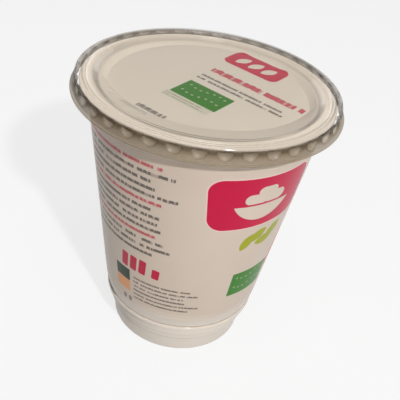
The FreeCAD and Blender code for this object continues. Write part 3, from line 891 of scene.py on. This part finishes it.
def look_at(place, target):
    """Placement of a lamp that shines along its own -Z from a place towards a target."""
    back = np.array(place, float) - np.array(target, float)
    back /= np.linalg.norm(back)
    side = np.cross((0.0, 0.0, 1.0), back)
    side /= np.linalg.norm(side)
    upward = np.cross(back, side)
    return placement(side, upward, back, place)


def placement(x_axis, y_axis, z_axis, origin):
    """The 4 by 4 matrix of an object from its axes and its place."""
    matrix = np.eye(4)
    matrix[:3, 0], matrix[:3, 1], matrix[:3, 2], matrix[:3, 3] = x_axis, y_axis, z_axis, origin
    return Matrix(matrix.tolist())


def add_lamp(name, azimuth, elevation, distance, size, power, target):
    """A round area lamp at an azimuth from the front, an elevation and a distance from its target."""
    lamp = bpy.data.lights.new(name, "AREA")
    lamp.shape = "DISK"
    lamp.size = size
    lamp.energy = power
    level, up = distance * math.cos(elevation), distance * math.sin(elevation)
    place = np.array(target) + (level * math.sin(azimuth), -level * math.cos(azimuth), up)
    put(name, lamp, look_at(place, target))


def add_floor(white):
    """A wide round floor at the level that the pot stands on."""
    rim = turned(np.array([[FLOOR_RADIUS, 0.0]]), FLOOR_COLUMNS)[0]
    vertices = np.vstack([np.zeros(3), rim])
    ring = np.arange(FLOOR_COLUMNS)
    faces = np.stack([0 * ring, 1 + ring, 1 + (ring + 1) % FLOOR_COLUMNS], axis=1)
    mesh = bpy.data.meshes.new("floor")
    mesh.from_pydata(vertices.tolist(), [], faces.tolist())
    mesh.materials.append(painted_board(white))
    put("floor", mesh)


def studio_world():
    """A soft even world, white to the rays that show the background; what mirrors it sees a dimmer share
    of that white up to a little over the horizon, and none of it overhead."""
    world, tree = new_tree(bpy.data.worlds, "studio")
    direction = add(tree, "TexCoord", output="Generated")
    above = add(tree, "SeparateXYZ", direction, output="Z")
    mirrored = add(tree, "MapRange", above, 0.3, 0.5, 0.55, 0.0)
    seen = seen_ray(tree, mirrored)
    strength = add(tree, "Math", seen, 0.8, 0.16, operation="MULTIPLY_ADD")
    soft = add(tree, "Background", WHITE, strength)
    add(tree, "OutputWorld", soft, output=None)
    return world


def add_camera(s):
    """The camera, behind its aim point by its distance and turned as its axes say."""
    right, up, forward = camera_axes(s)
    aim = np.array([0.0, 0.0, s.aim_height])
    level_back = np.array([0.0, -math.cos(s.elevation), math.sin(s.elevation)])
    camera = bpy.data.cameras.new("camera")
    camera.lens, camera.sensor_width = s.lens, s.sensor
    camera.clip_start, camera.clip_end = 0.01, 50.0
    return put("camera", camera, placement(right, up, -forward, aim + s.distance * level_back))


class CHEESE_OT_stage(bpy.types.Operator):
    """Make the pale floor, the soft lamps, the world and the camera"""
    bl_idname = "cheese.stage"
    bl_label = "Stage"

    def execute(self, context):
        scene = context.scene
        add_floor(scene.cheese_inks.floor_white)
        middle = (0.0, 0.0, 0.6 * CAP_HIGH[2])
        for name, azimuth, elevation, distance, size, power in LAMPS:
            add_lamp(name, math.radians(azimuth), math.radians(elevation), distance, size, power, middle)
        scene.world = studio_world()
        scene.camera = add_camera(scene.cheese_camera)
        scene.view_settings.view_transform = "Standard"
        return {"FINISHED"}


# -------------------------------------------------------------------------- add-on and run
class CHEESE_PT_panel(bpy.types.Panel):
    """The pot's operators and sizes in the sidebar"""
    bl_idname = "CHEESE_PT_panel"
    bl_label = "Soft Cheese Pot"
    bl_space_type = "VIEW_3D"
    bl_region_type = "UI"
    bl_category = "Cheese Pot"

    def draw(self, context):
        column = self.layout.column()
        for step in STEPS:
            column.operator(step.bl_idname)
        for name in GROUPS:
            group = getattr(context.scene, name)
            box = column.box()
            for key in group.bl_rna.properties.keys():
                if key not in ("rna_type", "name"):
                    box.prop(group, key)


GROUPS = {
    "cheese_pot": PotSizes,
    "cheese_membrane": MembraneSizes,
    "cheese_cap": CapSizes,
    "cheese_inks": PrintColours,
    "cheese_camera": CameraSizes,
}
STEPS = (CHEESE_OT_stage, CHEESE_OT_pot, CHEESE_OT_membrane, CHEESE_OT_overcap)


def register():
    """Register the classes, and give the scene its groups of sizes and colours."""
    for kind in (*GROUPS.values(), *STEPS, CHEESE_PT_panel):
        bpy.utils.register_class(kind)
    for name, kind in GROUPS.items():
        setattr(bpy.types.Scene, name, PointerProperty(type=kind))


def unregister():
    """Take away what register gave, in the opposite order."""
    for name in GROUPS:
        delattr(bpy.types.Scene, name)
    for kind in (CHEESE_PT_panel, *reversed(STEPS), *reversed(GROUPS.values())):
        bpy.utils.unregister_class(kind)


def main():
    """Register the add-on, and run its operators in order."""
    register()
    bpy.ops.cheese.stage()
    bpy.ops.cheese.pot()
    bpy.ops.cheese.membrane()
    bpy.ops.cheese.overcap()


if __name__ == "__main__":
    main()
